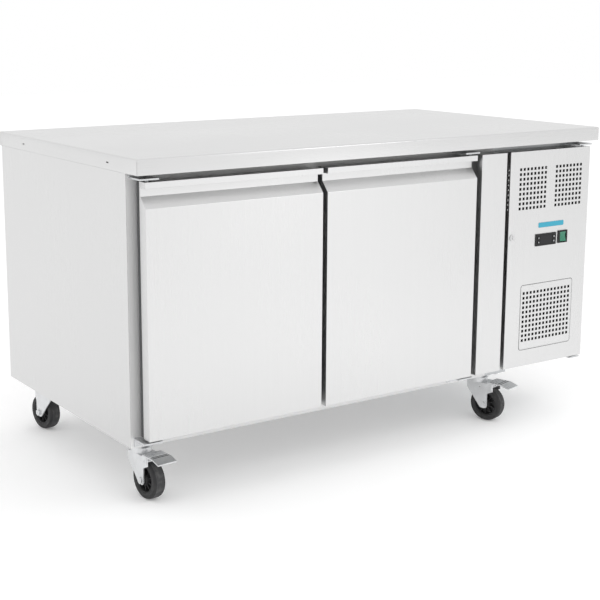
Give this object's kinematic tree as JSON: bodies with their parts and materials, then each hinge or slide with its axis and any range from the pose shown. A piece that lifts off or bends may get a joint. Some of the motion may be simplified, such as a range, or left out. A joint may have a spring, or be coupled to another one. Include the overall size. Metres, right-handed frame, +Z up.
{
  "type": "undercounter refrigerator",
  "caption": "Undercounter refrigerator on swivel casters: worktop over a two-door cold cabinet with a side machine bay behind a perforated hinged panel with controller and switch.",
  "frame": {"origin": "on the floor under the middle of the whole object's box", "axes": "+X to the right seen from the front and along the length, the front faces -Y, +Z up"},
  "size_m": [1.5, 0.82, 0.85],
  "materials": {
    "black_plastic": "fine moulded grain",
    "button_plastic": "moulded",
    "compressor_black": "satin black enamel",
    "copper": "drawn copper tube",
    "core_board": "plain board",
    "display_glass": "smoked window",
    "fan_plastic": "moulded",
    "fin_aluminium": "thin fins",
    "foam": "rigid foam",
    "galvanised": "galvanised sheet",
    "gasket_rubber": "soft magnetic seal",
    "green_plastic": "translucent moulding",
    "grey_plastic": "moulded",
    "hinge_steel": "plated",
    "liner_steel": "smooth",
    "lock_chrome": "polished",
    "mount_rubber": "matte",
    "pedal_steel": "zinc plate, darker tread",
    "shelf_coating": "grey-white plastic coat",
    "stainless": "fine satin grain",
    "support_steel": "pressed strip",
    "wheel_rubber": "solid rubber",
    "worktop_steel": "satin grain, slightly brighter",
    "zinc_steel": "bright zinc plate"
  },
  "bodies": {
    "cabinet": {"bay_top_rail": "galvanised", "caster_plates": "zinc_steel", "compressor": "compressor_black", "compressor_mounts": "mount_rubber", "condenser": "fin_aluminium", "condenser_fan_motor": "black_plastic", "condenser_fan_shroud": "galvanised", "control_box": "grey_plastic", "door_left_hinges": "hinge_steel", "door_right_hinges": "hinge_steel", "evaporator_coil": "fin_aluminium", "evaporator_cover": "liner_steel", "evaporator_fan_motor": "black_plastic", "fasteners": "hinge_steel", "filler_strip": "stainless", "front_frame": "stainless", "inner_liner": "liner_steel", "insulation": "foam", "machine_base": "galvanised", "mains_inlet": "black_plastic", "outer_casing": "stainless", "panel_hinges": "hinge_steel", "rear_cover": "galvanised", "refrigerant_pipes": "copper", "shelf_left": "shelf_coating", "shelf_right": "shelf_coating", "shelf_supports": "support_steel", "side_cover": "stainless", "worktop": "worktop_steel", "worktop_core": "core_board"},
    "door_left": {"door_left_skin": "stainless", "door_left_foam": "foam", "door_left_liner": "liner_steel", "door_left_gasket": "gasket_rubber"},
    "door_right": {"door_right_skin": "stainless", "door_right_foam": "foam", "door_right_liner": "liner_steel", "door_right_gasket": "gasket_rubber"},
    "machine_panel": {"machine_panel": "stainless", "controller_housing": "black_plastic", "controller_display": "display_glass", "switch_bezel": "black_plastic"},
    "panel_lock": {"lock_barrel": "lock_chrome"},
    "power_rocker": {"power_rocker": "green_plastic"},
    "button_up": {"button_up": "button_plastic"},
    "button_down": {"button_down": "button_plastic"},
    "button_set": {"button_set": "button_plastic"},
    "button_standby": {"button_standby": "button_plastic"},
    "condenser_fan": {"condenser_fan_rotor": "fan_plastic"},
    "evaporator_fan": {"evaporator_fan_rotor": "fan_plastic"},
    "caster_front_left_swivel": {"caster_front_left_fork": "zinc_steel"},
    "caster_front_left_wheel": {"caster_front_left_wheel": "wheel_rubber"},
    "caster_front_left_pedal": {"caster_front_left_pedal": "pedal_steel"},
    "caster_front_right_swivel": {"caster_front_right_fork": "zinc_steel"},
    "caster_front_right_wheel": {"caster_front_right_wheel": "wheel_rubber"},
    "caster_front_right_pedal": {"caster_front_right_pedal": "pedal_steel"},
    "caster_rear_left_swivel": {"caster_rear_left_fork": "zinc_steel"},
    "caster_rear_left_wheel": {"caster_rear_left_wheel": "wheel_rubber"},
    "caster_rear_right_swivel": {"caster_rear_right_fork": "zinc_steel"},
    "caster_rear_right_wheel": {"caster_rear_right_wheel": "wheel_rubber"}
  },
  "joints": [
    {"name": "door_left_hinge", "type": "hinge", "parent": "cabinet", "child": "door_left", "pos_m": [-0.714, -0.387, 0.485], "axis": [0, 0, -1], "range_deg": [0, 110]},
    {"name": "door_right_hinge", "type": "hinge", "parent": "cabinet", "child": "door_right", "pos_m": [0.274, -0.387, 0.485], "axis": [0, 0, 1], "range_deg": [0, 110]},
    {"name": "machine_panel_hinge", "type": "hinge", "parent": "cabinet", "child": "machine_panel", "pos_m": [0.7085, -0.387, 0.485], "axis": [0, 0, 1], "range_deg": [0, 110]},
    {"name": "panel_lock_turn", "type": "hinge", "parent": "machine_panel", "child": "panel_lock", "pos_m": [0.426, -0.395, 0.555], "axis": [0, 1, 0], "range_deg": [0, 90]},
    {"name": "power_rocker_turn", "type": "hinge", "parent": "machine_panel", "child": "power_rocker", "pos_m": [0.624, -0.405, 0.541], "axis": [1, 0, 0], "range_deg": [0, 14]},
    {"name": "button_up_press", "type": "slide", "parent": "machine_panel", "child": "button_up", "axis": [0, 1, 0], "range_m": [0, 0.0009], "stiffness_N_per_m": 400},
    {"name": "button_down_press", "type": "slide", "parent": "machine_panel", "child": "button_down", "axis": [0, 1, 0], "range_m": [0, 0.0009], "stiffness_N_per_m": 400},
    {"name": "button_set_press", "type": "slide", "parent": "machine_panel", "child": "button_set", "axis": [0, 1, 0], "range_m": [0, 0.0009], "stiffness_N_per_m": 400},
    {"name": "button_standby_press", "type": "slide", "parent": "machine_panel", "child": "button_standby", "axis": [0, 1, 0], "range_m": [0, 0.0009], "stiffness_N_per_m": 400},
    {"name": "condenser_fan_spin", "type": "hinge", "parent": "cabinet", "child": "condenser_fan", "pos_m": [0.5595, -0.27, 0.3162], "axis": [0, 1, 0], "continuous": true},
    {"name": "evaporator_fan_spin", "type": "hinge", "parent": "cabinet", "child": "evaporator_fan", "pos_m": [0.278, 0, 0.61], "axis": [1, 0, 0], "continuous": true},
    {"name": "caster_front_left_swivel_turn", "type": "hinge", "parent": "cabinet", "child": "caster_front_left_swivel", "pos_m": [-0.688, -0.284, 0.127], "axis": [0, 0, 1], "continuous": true},
    {"name": "caster_front_left_wheel_roll", "type": "hinge", "parent": "caster_front_left_swivel", "child": "caster_front_left_wheel", "pos_m": [-0.68504, -0.31787, 0.05], "axis": [0.9962, 0.0872, 0], "continuous": true},
    {"name": "caster_front_left_pedal_press", "type": "hinge", "parent": "caster_front_left_swivel", "child": "caster_front_left_pedal", "pos_m": [-0.68329, -0.3378, 0.103], "axis": [0.9962, 0.0872, 0], "range_deg": [0, 12]},
    {"name": "caster_front_right_swivel_turn", "type": "hinge", "parent": "cabinet", "child": "caster_front_right_swivel", "pos_m": [0.43, -0.284, 0.127], "axis": [0, 0, 1], "continuous": true},
    {"name": "caster_front_right_wheel_roll", "type": "hinge", "parent": "caster_front_right_swivel", "child": "caster_front_right_wheel", "pos_m": [0.43937, -0.31668, 0.05], "axis": [0.9613, 0.2756, 0], "continuous": true},
    {"name": "caster_front_right_pedal_press", "type": "hinge", "parent": "caster_front_right_swivel", "child": "caster_front_right_pedal", "pos_m": [0.44488, -0.33591, 0.103], "axis": [0.9613, 0.2756, 0], "range_deg": [0, 12]},
    {"name": "caster_rear_left_swivel_turn", "type": "hinge", "parent": "cabinet", "child": "caster_rear_left_swivel", "pos_m": [-0.67, 0.29, 0.127], "axis": [0, 0, 1], "continuous": true},
    {"name": "caster_rear_left_wheel_roll", "type": "hinge", "parent": "caster_rear_left_swivel", "child": "caster_rear_left_wheel", "pos_m": [-0.6759, 0.32348, 0.05], "axis": [-0.9848, -0.1736, 0], "continuous": true},
    {"name": "caster_rear_right_swivel_turn", "type": "hinge", "parent": "cabinet", "child": "caster_rear_right_swivel", "pos_m": [0.43, 0.29, 0.127], "axis": [0, 0, 1], "continuous": true},
    {"name": "caster_rear_right_wheel_roll", "type": "hinge", "parent": "caster_rear_right_swivel", "child": "caster_rear_right_wheel", "pos_m": [0.4241, 0.32348, 0.05], "axis": [-0.9848, -0.1736, 0], "continuous": true}
  ]
}
